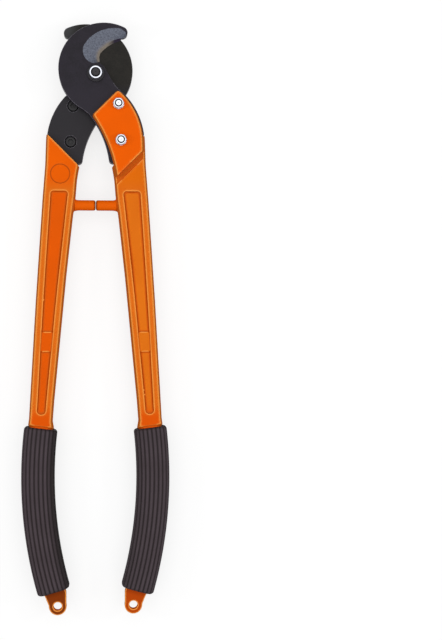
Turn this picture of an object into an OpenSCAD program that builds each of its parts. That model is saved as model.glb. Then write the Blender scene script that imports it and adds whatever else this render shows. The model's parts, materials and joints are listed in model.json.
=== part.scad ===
// Two-hand cable shear: two hooked blades on one pivot, two cast handles.
// Each half is drawn as the right one and turned over for the left one.
// In here the pivot is at x = 0, y = 0 and the blades' shear plane is z = 0.

/* [Blades] */
// Thickness of each blade and its tang
blade_t = 9; // [7:0.5:12]
// Radius of the round back of each blade
back_r = 46.8; // [45:0.2:50]
// Sideways place of the centre of the round back
back_x = 9.2; // [8:0.2:11]
// Lengthwise place of the centre of the round back
back_y = 4.8; // [3:0.2:6]
// Radius of the rounded end of the hook
nose_r = 5.6; // [4:0.1:6]
// Height that the short cutting bevel takes
edge_bevel_h = 4; // [2:0.5:5]
// Width of the short cutting bevel
edge_bevel_w = 2.2; // [1:0.1:3]
// Gap between the two blades
shear_gap = 0.1; // [0.05:0.05:0.3]

/* [Tangs] */
// Radius of the tang's outer edge
tang_outer_r = 72; // [70:0.5:76]
// Radius of the tang's inner edge
tang_inner_r = 92; // [90:0.5:94]
// Distance from the pivot to the slanted end of the tang
tang_end = 77.9; // [76:0.1:80]
// Gap between the tang's end and the handle's shoulder
tang_seat_gap = 0.2; // [0.05:0.05:0.5]

/* [Pivot] */
// Diameter of the pivot bolt's shoulder
pivot_d = 12; // [10:0.5:14]
// Radial running clearance of the moving blade on the pivot
pivot_fit = 0.05; // [0.02:0.01:0.1]
// Radial clearance of the pivot bolt in the blade that it is fixed to
pivot_seat_fit = 0.02; // [0.01:0.01:0.05]
// Diameter of the pivot bolt's thread
pivot_thread_d = 8; // [6:1:10]
// Width across the flats of the pivot nut
pivot_nut_af = 13; // [13:0.5:17]
// Height of the pivot nut
pivot_nut_h = 6.5; // [5:0.5:8]
// Diameter of the pivot washer
pivot_washer_d = 17; // [16:0.5:20]
// Thickness of the pivot washer
pivot_washer_t = 1.6; // [1:0.1:2.5]
// Width across the flats of the pivot bolt's head
pivot_head_af = 17; // [16:0.5:19]
// Height of the pivot bolt's head
pivot_head_h = 6; // [4:0.5:8]
// Length of thread that stands proud of the pivot nut
pivot_proud = 1.5; // [0.5:0.1:2]

/* [Handle screws] */
// Thread diameter of the handle screws
screw_d = 6; // [5:0.5:7]
// Diameter of a screw's head
screw_head_d = 10; // [9:0.5:12]
// Height of a screw's head
screw_head_h = 4; // [3:0.1:4.5]
// Width across the flats of the socket in a screw's head
screw_socket_af = 5; // [3:0.5:6]
// Depth of the socket in a screw's head
screw_socket_depth = 2.2; // [1:0.1:2.8]
// Radial clearance round a screw's shank
screw_clearance = 0.2; // [0.1:0.05:0.4]
// Radial clearance round a screw's head
head_clearance = 1.2; // [0.5:0.1:1.5]
// Depth of a screw's head below the shear plane
head_sink = 0.4; // [0.2:0.1:1]
// Width across the flats of a handle nut
nut_af = 10; // [9:0.5:11]
// Height of a handle nut
nut_h = 5.2; // [4:0.1:6]
// Diameter of a handle washer
washer_d = 11; // [10.5:0.5:14]
// Thickness of a handle washer
washer_t = 1.6; // [1:0.1:2.5]
// Radial clearance of every nut on its thread
thread_clearance = 0.05; // [0.02:0.01:0.1]
// Length of thread that stands proud of a handle nut
thread_proud = 0.8; // [0.2:0.1:2]

/* [Handles] */
// Thickness of the handle plate on the outside of the tang
plate_t = 8; // [6:0.5:10]
// Thickness of the handle's arm
arm_t = 19; // [17:0.5:22]
// Slope of the cast sides, in degrees
draft = 12.4; // [8:0.2:14]
// Distance from the pivot to the slanted upper edge of the plate
plate_start = 28.8; // [28:0.2:31]
// Distance from the pivot to the slanted lower edge of the plate
plate_end = 89.1; // [87:0.1:91]
// Width of the slanted channel below the plate
channel_w = 5.4; // [4:0.2:9]
// Depth of the slanted channel below the arm's face
channel_depth = 1.5; // [0.5:0.1:3]
// Width of the rim at each side of the recessed panels
rim_w = 7.4; // [7:0.2:10]
// Depth of the recess between the rims
recess_depth = 0.8; // [0.2:0.1:1.5]
// Depth of the two panels in the recess, below the arm's face
panel_depth = 2.2; // [1.6:0.1:2.8]
// Sideways run of the panels' sloping sides for each millimetre of depth
panel_run = 1; // [0.2:0.1:1.2]
// Length of the upper panel
upper_panel_l = 144.4; // [120:0.2:150]
// Length of the lower panel
lower_panel_l = 65; // [50:0.5:66]
// Length of solid web between the two panels
panel_web = 17.7; // [12:0.1:30]
// Distance from the pivot line down to the upper panel
panel_start = 118.4; // [116:0.1:122]
// Diameter of the round casting mark on the back of the arm
mark_d = 20; // [12:1:22]
// Depth of the casting mark
mark_depth = 0.6; // [0.1:0.1:1]

/* [Stops] */
// Diameter of each stop peg
stop_d = 10.6; // [8:0.1:13]
// Distance from the pivot down to the stop pegs
stop_drop = 132.9; // [130:0.1:150]
// Gap between the two stop pegs with the shear closed
stop_gap = 0.3; // [0.1:0.05:1]
// Length of the flared foot of a stop peg
stop_foot_l = 3.5; // [1:0.5:5]
// Width that the foot adds all round a stop peg
stop_foot_w = 1.5; // [0.5:0.5:3]

/* [Grips] */
// Radius of the curve that the grip follows
grip_curve_r = 420; // [390:1:450]
// Sideways place where the grip's middle line is furthest out
grip_out_x = 58.2; // [57.8:0.1:58.6]
// Distance from the pivot down to that place
grip_out_drop = 409.3; // [408:0.1:411]
// Length of the grip above that place
grip_up_l = 50.7; // [50:0.1:51.4]
// Length of the grip below that place
grip_down_l = 117.1; // [112:0.1:119]
// Width of the grip across the handle
grip_w = 33.8; // [32:0.1:37]
// Thickness of the grip
grip_t = 26.6; // [25:0.1:30]
// Corner radius of the grip's section
grip_corner_r = 9; // [7:0.5:11]
// Number of lengthwise grooves round the grip
grip_grooves = 24; // [12:1:40]
// Depth of the grip's grooves
groove_depth = 0.7; // [0.2:0.1:1.2]
// Width of the cast core in the grip
core_w = 23; // [21:0.1:23.4]
// Thickness of the cast core in the grip
core_t = 18; // [14:0.1:18.6]
// Clearance between the core and the grip
core_clearance = 0.1; // [0.05:0.05:0.3]
// Corner radius of the core's section
core_corner_r = 5; // [3:0.5:6]
// Gap between the grip and the handle's collar
collar_gap = 0.3; // [0.1:0.1:0.6]
// Length of the grip that stands past the core
grip_overhang = 2; // [0.5:0.5:4]
// Length of the core that runs up into the arm, past the arm's sloped end
core_root = 2.5; // [2.3:0.1:3]
// Width of the arm's end where the grip meets it
collar_w = 26.8; // [26.4:0.1:28]

/* [Hanging eyes] */
// Outer radius of the hanging eye
eye_r = 9; // [8:0.1:10]
// Diameter of the hole in the hanging eye
eye_hole_d = 8.5; // [6:0.1:10]
// Thickness of the hanging eye
eye_t = 8.5; // [6:0.1:12]
// Sideways place of the hanging eye
eye_x = 38.3; // [37:0.1:40]
// Distance from the pivot down to the hanging eye
eye_drop = 539.9; // [538:0.1:545]

/* [Hidden] */
$fn = 96;

steel_black = "#2b292d";
steel_zinc = "#d9dadd";
cast_orange = "#f06a0c";
grip_black = "#37333a";

// Length by which a cutting body runs past the face that it cuts
past = 1;

// Heights from the shear plane
blade_z0 = shear_gap / 2;
head_z = head_sink + screw_head_h;
arm_h = arm_t / 2;
plate_z = blade_t + plate_t;
nut_z = plate_z + washer_t;
screw_tip_z = nut_z + nut_h + thread_proud;
pivot_shoulder_z = blade_t + shear_gap;
pivot_nut_z = pivot_shoulder_z + pivot_washer_t;
pivot_tip_z = pivot_nut_z + pivot_nut_h + pivot_proud;

// Chamfers of the screws, the pivot bolt and the stop pegs
head_chamfer = 0.4;
tip_chamfer = 0.6;
pivot_chamfer = 0.8;
stop_chamfer = 1;
// Share of a hexagon's flats width that its chamfered faces keep
hex_face = 0.94;
// Countersink of the nuts' threads, and the centre mark in a screw's end
nut_countersink = 0.9;
centre_mark_r = 0.8;
centre_mark_depth = 0.6;

// Where the half lies in the part's own frame
origin_y = (eye_drop + eye_r - back_y - back_r) / 2;
origin_z = screw_tip_z;

// Centres, radii and end angles of the arcs in the blade's outline
back_c = [back_x, back_y];
back_end_a = 243;
nose_x = 26.6;
nose_c = [nose_x, back_y + sqrt(pow(back_r - nose_r, 2) - pow(nose_x - back_x, 2))];
nose_a = -98;
throat_c = [61.5, 21.5];
throat_r = 53.4;
throat_a = [234, 203];
mouth_c = [13.4, 17.6];
mouth_r = 9.7;
mouth_a = [190, 150];
// Round shoulder of the blade between its throat and the foot of the mouth
shoulder_r = 10.9;
shoulder_a = [20, 66];
mouth_foot = polar([0, 0], shoulder_r, shoulder_a[1]);
lip_c = [33.8, -0.9];
lip_r = 37;
lip_a = [138, 105];

// Arcs of the crescent that is ground into the blade's face
crescent_low_c = [0.2, 23.1];
crescent_low_r = 13.1;
crescent_low_a = [262, 152];
crescent_top_c = [19.9, 9];
crescent_top_r = 37.4;
crescent_top_a = [136, 82];
// How far the grinding runs past the nose and above the foot of the mouth
grind_past = 4;
grind_rise = 10;

// Arcs of the tang's two edges and of its inner corner
tang_outer_x = 49.6;
tang_outer_c = [tang_outer_x - tang_outer_r, -70.7];
tang_outer_a = 42.2;
tang_inner_x = 14.2;
tang_inner_c = [tang_inner_x - tang_inner_r, -99.7];
tang_inner_a = 40;
tang_corner_r = 4;

// Screw places on the tang
upper_screw = [22.9, -31.8];
lower_screw = [25.4, -68.3];

// Handle outline: the plate's arcs, then the arm's edges as [y, x] points
plate_lap = 0.8;
plate_outer_r = tang_outer_r + plate_lap;
plate_inner_r = 141.5;
plate_inner_c = [-121.7, -125.2];
plate_inner_a = 8;
plate_corner_r = 5.7;
outer_edge = [[-92, 51.1], [-128, 53.9], [-230, 60.6], [-332, 66.4], [-350, 67.4]];
inner_edge = [[-108, 18.8], [-124, 20.1], [-145, 22.9], [-205, 29.5], [-332, 41.7], [-352, 43.2]];
slope = tan(draft);
panel_corner_r = 4;
web_corner_r = 3.5;
// Share of the lower panel's width that its rounded end takes
panel_end_round = 0.46;
mark_c = [35.7, -101.8];

// Centre and end angles of the grip's curve
grip_c = [grip_out_x - grip_curve_r, -grip_out_drop];
grip_top_a = to_degrees(grip_up_l, grip_curve_r);
grip_end_a = -to_degrees(grip_down_l, grip_curve_r);

// The tongue of the hanging eye: its set-back from the core's side, how far it
// runs up into the core, and the step from it to the eye's rim
tongue_inset = 1;
tongue_root = 7;
tongue_step = 0.3;

// Direction in which distances to the slanted lines are counted from the pivot
slant_a = -45;

function polar(c, r, a) = [c[0] + r * cos(a), c[1] + r * sin(a)];
function arc(c, r, a0, a1, n) = [for (i = [0:n]) polar(c, r, a0 + (a1 - a0) * i / n)];
function without_first(points) = [for (i = [1:len(points) - 1]) points[i]];
function turned(points) = [for (i = [len(points) - 1:-1:0]) points[i]];
function ring(points, z) = [for (p = points) [p[0], p[1], z]];
function angle_to(c, p) = atan2(p[1] - c[1], p[0] - c[0]);
function unit(v) = v / norm(v);
function to_degrees(length, r) = length / r * 180 / PI;
// Sideways place of an edge given as [y, x] points
function edge_x(edge, y) = lookup(y, edge);
// Value of x - y all along the slanted line at a distance d from the pivot
function diagonal(d) = d * sqrt(2);
// Angle on a circle where x - y = d, on the side that faces up and left
function diagonal_angle(c, r, d) = acos((d - c[0] + c[1]) / r / sqrt(2)) + slant_a;

// Outline of one blade with its tang, anticlockwise
function blade_outline() = let(
    back_a = angle_to(back_c, nose_c),
    corner_d = diagonal(tang_end - tang_corner_r),
    corner_a = diagonal_angle(tang_inner_c, tang_inner_r + tang_corner_r, corner_d),
    corner_c = polar(tang_inner_c, tang_inner_r + tang_corner_r, corner_a),
    end_a = diagonal_angle(tang_outer_c, tang_outer_r, diagonal(tang_end)))
    concat(
        arc(nose_c, nose_r, nose_a, back_a, 14),
        without_first(arc(back_c, back_r, back_a, back_end_a, 44)),
        arc(tang_inner_c, tang_inner_r, tang_inner_a, corner_a, 14),
        without_first(arc(corner_c, tang_corner_r, 180 + corner_a, 360 + slant_a, 8)),
        arc(tang_outer_c, tang_outer_r, end_a, tang_outer_a, 14),
        arc(throat_c, throat_r, throat_a[0], throat_a[1], 14),
        arc([0, 0], shoulder_r, shoulder_a[0], shoulder_a[1], 6),
        without_first(mouth_edge(0)));

// Cutting edge of the mouth, set back by w
function mouth_edge(w) = concat(
    [mouth_foot - [w, 0]],
    arc(mouth_c, mouth_r + w, mouth_a[0], mouth_a[1], 11),
    arc(lip_c, lip_r + w, lip_a[0], lip_a[1], 14));

// Outer edge of the ground crescent, with as many points as the mouth's edge
function crescent_edge() = concat(
    arc(crescent_low_c, crescent_low_r, crescent_low_a[0], crescent_low_a[1], 12),
    arc(crescent_top_c, crescent_top_r, crescent_top_a[0], crescent_top_a[1], 14));

// Solid through rings of points, one above the other, each anticlockwise
module ring_solid(rings) {
    n = len(rings[0]);
    last = (len(rings) - 1) * n;
    polyhedron(
        points = [for (r = rings) each r],
        faces = concat(
            [[for (i = [0:n - 1]) i]],
            [for (k = [0:len(rings) - 2], i = [0:n - 1])
                let(a = k * n + i, b = k * n + (i + 1) % n) each [[a, a + n, b], [b, a + n, b + n]]],
            [[for (i = [n - 1:-1:0]) last + i]]));
}

// What the short bevel and the long hollow of the cutting edge take off a blade
module mouth_grind() {
    lip_end = polar(lip_c, lip_r, lip_a[1]);
    low_y = mouth_foot[1];
    past_nose = nose_x + grind_past;
    // Ring of an edge, closed on the open side of the mouth
    function closed(edge, right, top, low) = concat([[right, low], [right, top]], turned(edge));
    crescent = closed(crescent_edge(), past_nose, nose_c[1], low_y + grind_rise);
    bevel = mouth_edge(edge_bevel_w);
    ring_solid([
        ring(closed(mouth_edge(0), nose_x, lip_end[1], low_y), 0),
        ring(closed(bevel, nose_x, lip_end[1] + edge_bevel_w, low_y), edge_bevel_h),
        ring(crescent, blade_t),
        ring(crescent, blade_t + past)]);
}

module at_screws() {
    for (p = [upper_screw, lower_screw]) translate(p) children();
}

module blade(bore_d) {
    difference() {
        translate([0, 0, blade_z0]) linear_extrude(blade_t - blade_z0) polygon(blade_outline());
        mouth_grind();
        translate([0, 0, -past]) cylinder(d = bore_d, h = blade_t + 2 * past);
        at_screws() translate([0, 0, -past]) {
            cylinder(d = screw_d + 2 * screw_clearance, h = blade_t + 2 * past);
            cylinder(d = screw_head_d + 2 * head_clearance, h = head_z + past);
        }
    }
}

// Arc that rounds the corner at b on the anticlockwise way from a to c
function corner(a, b, c, r, n) = let(
    u = unit(a - b),
    v = unit(c - b),
    half = acos(u * v) / 2,
    centre = b + unit(u + v) * r / sin(half),
    start = angle_to(centre, b + u * r / tan(half)))
    arc(centre, r, start, start + 180 - 2 * half, n);

// Anticlockwise outline moved inwards by d, point by point
function inset(points, d) = let(n = len(points)) [
    for (i = [0:n - 1]) let(
        p = points[i],
        u = unit(p - points[(i + n - 1) % n]),
        v = unit(points[(i + 1) % n] - p),
        a = [-u[1], u[0]],
        b = [-v[1], v[0]])
        p + (a + b) * d / (1 + a * b)];

// Outline of a handle at the parting line, anticlockwise
function handle_outline() = let(
    start_d = diagonal(plate_start - slope * plate_z + plate_corner_r),
    outer_a = diagonal_angle(tang_outer_c, plate_outer_r - plate_corner_r, start_d),
    inner_a = diagonal_angle(plate_inner_c, plate_inner_r + plate_corner_r, start_d),
    outer_c = polar(tang_outer_c, plate_outer_r - plate_corner_r, outer_a),
    inner_c = polar(plate_inner_c, plate_inner_r + plate_corner_r, inner_a))
    concat(
        without_first(arc(outer_c, plate_corner_r, outer_a, 180 + slant_a, 7)),
        arc(inner_c, plate_corner_r, 180 + slant_a, 180 + inner_a, 7),
        without_first(arc(plate_inner_c, plate_inner_r, inner_a, plate_inner_a, 12)),
        [for (p = inner_edge) [p[1], p[0]]],
        [polar(grip_c, grip_curve_r - collar_w / 2, grip_top_a)],
        [polar(grip_c, grip_curve_r + collar_w / 2, grip_top_a)],
        turned([for (p = outer_edge) [p[1], p[0]]]),
        arc(tang_outer_c, plate_outer_r, 0, outer_a, 20));

// Everything between two slanted lines, counted from the pivot, and two heights
module slanted_slab(d0, d1, z0, z1) {
    reach = eye_drop;
    rotate([0, 0, slant_a]) translate([d0, -reach, z0]) cube([d1 - d0, 2 * reach, z1 - z0]);
}

// Outline of a recessed panel between two heights on the arm
function panel_outline(top, low, top_r, low_r) = let(
    mid = (top + low) / 2,
    tl = [edge_x(inner_edge, top) + rim_w, top],
    tr = [edge_x(outer_edge, top) - rim_w, top],
    bl = [edge_x(inner_edge, low) + rim_w, low],
    br = [edge_x(outer_edge, low) - rim_w, low],
    ml = [edge_x(inner_edge, mid) + rim_w, mid],
    mr = [edge_x(outer_edge, mid) - rim_w, mid])
    concat(
        corner(tr, tl, ml, top_r, 6), [ml], corner(ml, bl, br, low_r, 6),
        corner(bl, br, mr, low_r, 6), [mr], corner(mr, tr, tl, top_r, 6));

// Pocket with sloping sides that is sunk below both faces of the arm
module sunk(outline, depth) {
    for (back = [0, 1]) mirror([0, 0, back]) ring_solid([
        ring(inset(outline, depth * panel_run), arm_h - depth),
        ring(outline, arm_h),
        ring(outline, arm_h + past)]);
}

// Long recess with two deeper panels in it; the lower one ends nearly round
module panels() {
    upper_low = -panel_start - upper_panel_l;
    lower_top = upper_low - panel_web;
    lower_low = lower_top - lower_panel_l;
    lower_w = edge_x(outer_edge, lower_low) - edge_x(inner_edge, lower_low) - 2 * rim_w;
    end_r = lower_w * panel_end_round;
    sunk(panel_outline(-panel_start, lower_low, panel_corner_r, end_r), recess_depth);
    sunk(panel_outline(-panel_start, upper_low, panel_corner_r, web_corner_r), panel_depth);
    sunk(panel_outline(lower_top, lower_low, web_corner_r, end_r), panel_depth);
}

// Round peg that stands on the arm's inner side and meets its twin in the middle
module stop_peg() {
    root_x = edge_x(inner_edge, -stop_drop);
    tip_x = stop_gap / 2;
    r = stop_d / 2;
    translate([0, -stop_drop, 0]) rotate([0, 90, 0]) rotate_extrude() polygon([
        [0, tip_x], [r - stop_chamfer, tip_x], [r, tip_x + stop_chamfer],
        [r, root_x - stop_foot_l], [r + stop_foot_w, root_x + stop_foot_l], [0, root_x + stop_foot_l]]);
}

function rounded_rect(w, h, r) = [
    for (q = [[1, -1, 270], [1, 1, 0], [-1, 1, 90], [-1, -1, 180]])
        each arc([q[0] * (w / 2 - r), q[1] * (h / 2 - r)], r, q[2], q[2] + 90, 6)];

// Bar that follows the grip's curve between two angles
module curved_bar(a0, a1) {
    translate(grip_c) rotate([0, 0, a0]) rotate_extrude(angle = a1 - a0, $fn = 180)
        translate([grip_curve_r, 0]) children();
}

// Flat tongue out of the core's end, straight inside and slanted outside, with an eye
module hanging_eye() {
    half_w = core_w / 2 - tongue_inset;
    root_a = grip_end_a + to_degrees(grip_overhang + tongue_root, grip_curve_r);
    root_in = polar(grip_c, grip_curve_r - half_w, root_a);
    root_out = polar(grip_c, grip_curve_r + half_w, root_a);
    end_in = polar(grip_c, grip_curve_r - half_w, grip_end_a);
    end_out = polar(grip_c, grip_curve_r + half_w, grip_end_a);
    inner_x = eye_x - eye_r + tongue_step;
    difference() {
        union() {
            linear_extrude(eye_t, center = true) polygon([
                root_in, [inner_x, end_in[1] - half_w / 3], [inner_x, -eye_drop],
                [eye_x + eye_r - tongue_step, -eye_drop], end_out, root_out]);
            translate([eye_x, -eye_drop, -eye_t / 2]) cylinder(r = eye_r, h = eye_t);
        }
        translate([eye_x, -eye_drop, -eye_t]) cylinder(d = eye_hole_d, h = 2 * eye_t);
    }
}

module handle() {
    outline = handle_outline();
    core_end_a = grip_end_a + to_degrees(grip_overhang, grip_curve_r);
    core_top_a = grip_top_a + to_degrees(core_root, grip_curve_r);
    difference() {
        intersection() {
            ring_solid([
                ring(inset(outline, slope * (arm_h + past)), -arm_h - past),
                ring(outline, 0),
                ring(inset(outline, slope * (plate_z + past)), plate_z + past)]);
            slanted_slab(-eye_drop, eye_drop, -arm_h, plate_z);
        }
        slanted_slab(-eye_drop, tang_end + tang_seat_gap, -arm_h - past, blade_t);
        slanted_slab(plate_end, plate_end + channel_w, arm_h - channel_depth, plate_z + past);
        slanted_slab(plate_end + channel_w / 2, eye_drop, arm_h, plate_z + past);
        panels();
        translate([mark_c[0], mark_c[1], -arm_h - past]) cylinder(d = mark_d, h = mark_depth + past);
        at_screws() cylinder(d = screw_d + 2 * screw_clearance, h = plate_z + past);
    }
    stop_peg();
    curved_bar(core_end_a, core_top_a) polygon(rounded_rect(core_w, core_t, core_corner_r));
    hanging_eye();
}

// Sleeve round the core, with grooves cut along it all round
module grip() {
    flat_w = grip_w - 2 * grip_corner_r;
    flat_t = grip_t - 2 * grip_corner_r;
    round_l = PI / 2 * grip_corner_r;
    half_turn = flat_w + flat_t + 2 * round_l;
    pitch = 2 * half_turn / grip_grooves;
    // Point at a length s along the section's outline
    function walk(s) = let(
        t = s % half_turn,
        side = s < half_turn ? 1 : -1,
        past_top = t - flat_w,
        past_round = past_top - round_l,
        past_side = past_round - flat_t)
        side * (past_top < 0 ? [t - flat_w / 2, grip_t / 2]
            : past_round < 0 ? polar([flat_w, flat_t] / 2, grip_corner_r, 90 - 90 * past_top / round_l)
            : past_side < 0 ? [grip_w / 2, flat_t / 2 - past_round]
            : polar([flat_w, -flat_t] / 2, grip_corner_r, -90 * past_side / round_l));
    core_hole_w = core_w + 2 * core_clearance;
    core_hole_t = core_t + 2 * core_clearance;
    sleeve_top_a = grip_top_a - to_degrees(collar_gap, grip_curve_r);
    curved_bar(grip_end_a, sleeve_top_a) difference() {
        polygon(rounded_rect(grip_w, grip_t, grip_corner_r));
        polygon(rounded_rect(core_hole_w, core_hole_t, core_corner_r));
        for (i = [0:grip_grooves - 1]) translate(walk((i + 0.5) * pitch)) circle(r = groove_depth, $fn = 16);
    }
}

// Hexagon with its corners chamfered at both ends
module hexagon(af, h) {
    face_r = af * hex_face / 2;
    intersection() {
        cylinder(d = af / cos(30), h = h, $fn = 6);
        cylinder(r1 = face_r, r2 = face_r + h, h = h);
        cylinder(r1 = face_r + h, r2 = face_r, h = h);
    }
}

// Nut with its thread's bore, countersunk on the outer face
module hex_nut(af, h, thread_d) {
    r = thread_d / 2 + thread_clearance;
    difference() {
        hexagon(af, h);
        translate([0, 0, -past]) cylinder(r = r, h = h + 2 * past);
        translate([0, 0, h - nut_countersink])
            cylinder(r1 = r, r2 = r + nut_countersink + past, h = nut_countersink + past);
    }
}

module washer(d, t, thread_d) {
    difference() {
        cylinder(d = d, h = t);
        translate([0, 0, -past]) cylinder(d = thread_d + 2 * screw_clearance, h = t + 2 * past);
    }
}

module handle_screw(p) {
    head_r = screw_head_d / 2;
    r = screw_d / 2;
    translate(p) difference() {
        rotate_extrude() polygon([
            [0, head_sink], [head_r - head_chamfer, head_sink], [head_r, head_sink + head_chamfer],
            [head_r, head_z], [r, head_z],
            [r, screw_tip_z - tip_chamfer], [r - tip_chamfer, screw_tip_z],
            [centre_mark_r, screw_tip_z], [0, screw_tip_z - centre_mark_depth]]);
        translate([0, 0, head_sink - past])
            cylinder(d = screw_socket_af / cos(30), h = screw_socket_depth + past, $fn = 6);
    }
}

module handle_washer(p) {
    translate([p[0], p[1], plate_z]) washer(washer_d, washer_t, screw_d);
}

module handle_nut(p) {
    translate([p[0], p[1], nut_z]) hex_nut(nut_af, nut_h, screw_d);
}

// The shear lies flat with its bounding box centred over the origin
module placed() {
    translate([0, origin_y, origin_z]) children();
}

module left_side() {
    rotate([0, 180, 0]) children();
}

module front_blade() { color(steel_black) placed() blade(pivot_d + 2 * pivot_fit); }
module rear_blade() { color(steel_black) placed() left_side() blade(pivot_d + 2 * pivot_seat_fit); }
module right_handle() { color(cast_orange) placed() handle(); }
module left_handle() { color(cast_orange) placed() left_side() handle(); }
module right_grip() { color(grip_black) placed() grip(); }
module left_grip() { color(grip_black) placed() left_side() grip(); }

module pivot_bolt() {
    thread_r = pivot_thread_d / 2;
    color(steel_black) placed() {
        translate([0, 0, -blade_t - pivot_head_h]) hexagon(pivot_head_af, pivot_head_h);
        rotate_extrude() polygon([
            [0, -blade_t - pivot_head_h / 2], [pivot_d / 2, -blade_t - pivot_head_h / 2],
            [pivot_d / 2, pivot_shoulder_z], [thread_r, pivot_shoulder_z],
            [thread_r, pivot_tip_z - pivot_chamfer], [thread_r - pivot_chamfer, pivot_tip_z],
            [centre_mark_r, pivot_tip_z], [0, pivot_tip_z - centre_mark_depth]]);
    }
}

module pivot_washer() {
    color(steel_black) placed() translate([0, 0, pivot_shoulder_z])
        washer(pivot_washer_d, pivot_washer_t, pivot_thread_d);
}

module pivot_nut() {
    color(steel_zinc) placed() translate([0, 0, pivot_nut_z])
        hex_nut(pivot_nut_af, pivot_nut_h, pivot_thread_d);
}

module right_upper_screw() { color(steel_black) placed() handle_screw(upper_screw); }
module right_lower_screw() { color(steel_black) placed() handle_screw(lower_screw); }
module left_upper_screw() { color(steel_black) placed() left_side() handle_screw(upper_screw); }
module left_lower_screw() { color(steel_black) placed() left_side() handle_screw(lower_screw); }
module right_upper_washer() { color(steel_zinc) placed() handle_washer(upper_screw); }
module right_lower_washer() { color(steel_zinc) placed() handle_washer(lower_screw); }
module left_upper_washer() { color(steel_zinc) placed() left_side() handle_washer(upper_screw); }
module left_lower_washer() { color(steel_zinc) placed() left_side() handle_washer(lower_screw); }
module right_upper_nut() { color(steel_zinc) placed() handle_nut(upper_screw); }
module right_lower_nut() { color(steel_zinc) placed() handle_nut(lower_screw); }
module left_upper_nut() { color(steel_zinc) placed() left_side() handle_nut(upper_screw); }
module left_lower_nut() { color(steel_zinc) placed() left_side() handle_nut(lower_screw); }

front_blade();
rear_blade();
pivot_bolt();
pivot_washer();
pivot_nut();
right_handle();
left_handle();
right_grip();
left_grip();
right_upper_screw();
right_lower_screw();
left_upper_screw();
left_lower_screw();
right_upper_washer();
right_lower_washer();
left_upper_washer();
left_lower_washer();
right_upper_nut();
right_lower_nut();
left_upper_nut();
left_lower_nut();
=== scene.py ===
import json
import math
import bpy
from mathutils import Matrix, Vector


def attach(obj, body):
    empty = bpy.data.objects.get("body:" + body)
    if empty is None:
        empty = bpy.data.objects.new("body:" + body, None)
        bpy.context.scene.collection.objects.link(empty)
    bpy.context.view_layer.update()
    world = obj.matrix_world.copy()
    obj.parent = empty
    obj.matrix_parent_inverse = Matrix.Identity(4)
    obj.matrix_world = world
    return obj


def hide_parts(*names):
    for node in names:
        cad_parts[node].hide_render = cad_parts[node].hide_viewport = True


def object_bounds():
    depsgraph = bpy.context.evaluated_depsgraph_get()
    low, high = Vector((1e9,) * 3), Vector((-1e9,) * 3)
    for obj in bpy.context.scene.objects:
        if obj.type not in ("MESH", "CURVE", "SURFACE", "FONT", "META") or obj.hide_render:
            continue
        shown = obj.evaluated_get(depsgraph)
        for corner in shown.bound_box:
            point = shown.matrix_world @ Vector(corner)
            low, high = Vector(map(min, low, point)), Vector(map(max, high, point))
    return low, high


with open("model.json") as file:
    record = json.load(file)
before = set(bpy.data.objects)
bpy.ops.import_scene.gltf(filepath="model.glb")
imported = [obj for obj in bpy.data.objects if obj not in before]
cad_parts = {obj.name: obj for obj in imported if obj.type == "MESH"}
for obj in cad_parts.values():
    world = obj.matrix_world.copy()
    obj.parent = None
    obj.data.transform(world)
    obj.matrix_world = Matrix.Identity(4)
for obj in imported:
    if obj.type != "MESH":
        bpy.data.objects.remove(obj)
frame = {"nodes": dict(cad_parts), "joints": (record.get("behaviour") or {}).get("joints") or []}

cadLow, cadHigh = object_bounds()
pivotJoint = next(j for j in frame["joints"] if j["name"] == "blade_pivot")
pivot = Vector(pivotJoint["pos_m"])
nodes = frame["nodes"]
mm = 0.001
satinReflection = 0.12  # specular level of the steel's oxide and of the rubber
bevelSamples = 6  # rays that a worn edge is found with


def linear(hexColour):  # sRGB hex to the linear colour that a shader socket takes
    parts = [int(hexColour[i:i + 2], 16) / 255 for i in (1, 3, 5)]
    return tuple(c / 12.92 if c <= 0.04045 else ((c + 0.055) / 1.055) ** 2.4 for c in parts) + (1.0,)


def perMetre(sizeMm):  # texture scale for a pattern that repeats about every sizeMm
    return 1000 / sizeMm


def addNode(tree, kind, inputs=None, **settings):  # one node with its settings and its links
    node = tree.nodes.new(kind)
    for name, value in settings.items():
        setattr(node, name, value)
    for socket, value in (inputs or {}).items():
        if isinstance(value, bpy.types.NodeSocket):
            tree.links.new(value, node.inputs[socket])
        else:
            node.inputs[socket].default_value = value
    return node


def newMaterial(name):
    material = bpy.data.materials.new(name)
    material.use_nodes = True
    material.node_tree.nodes.clear()
    return material, material.node_tree


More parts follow.
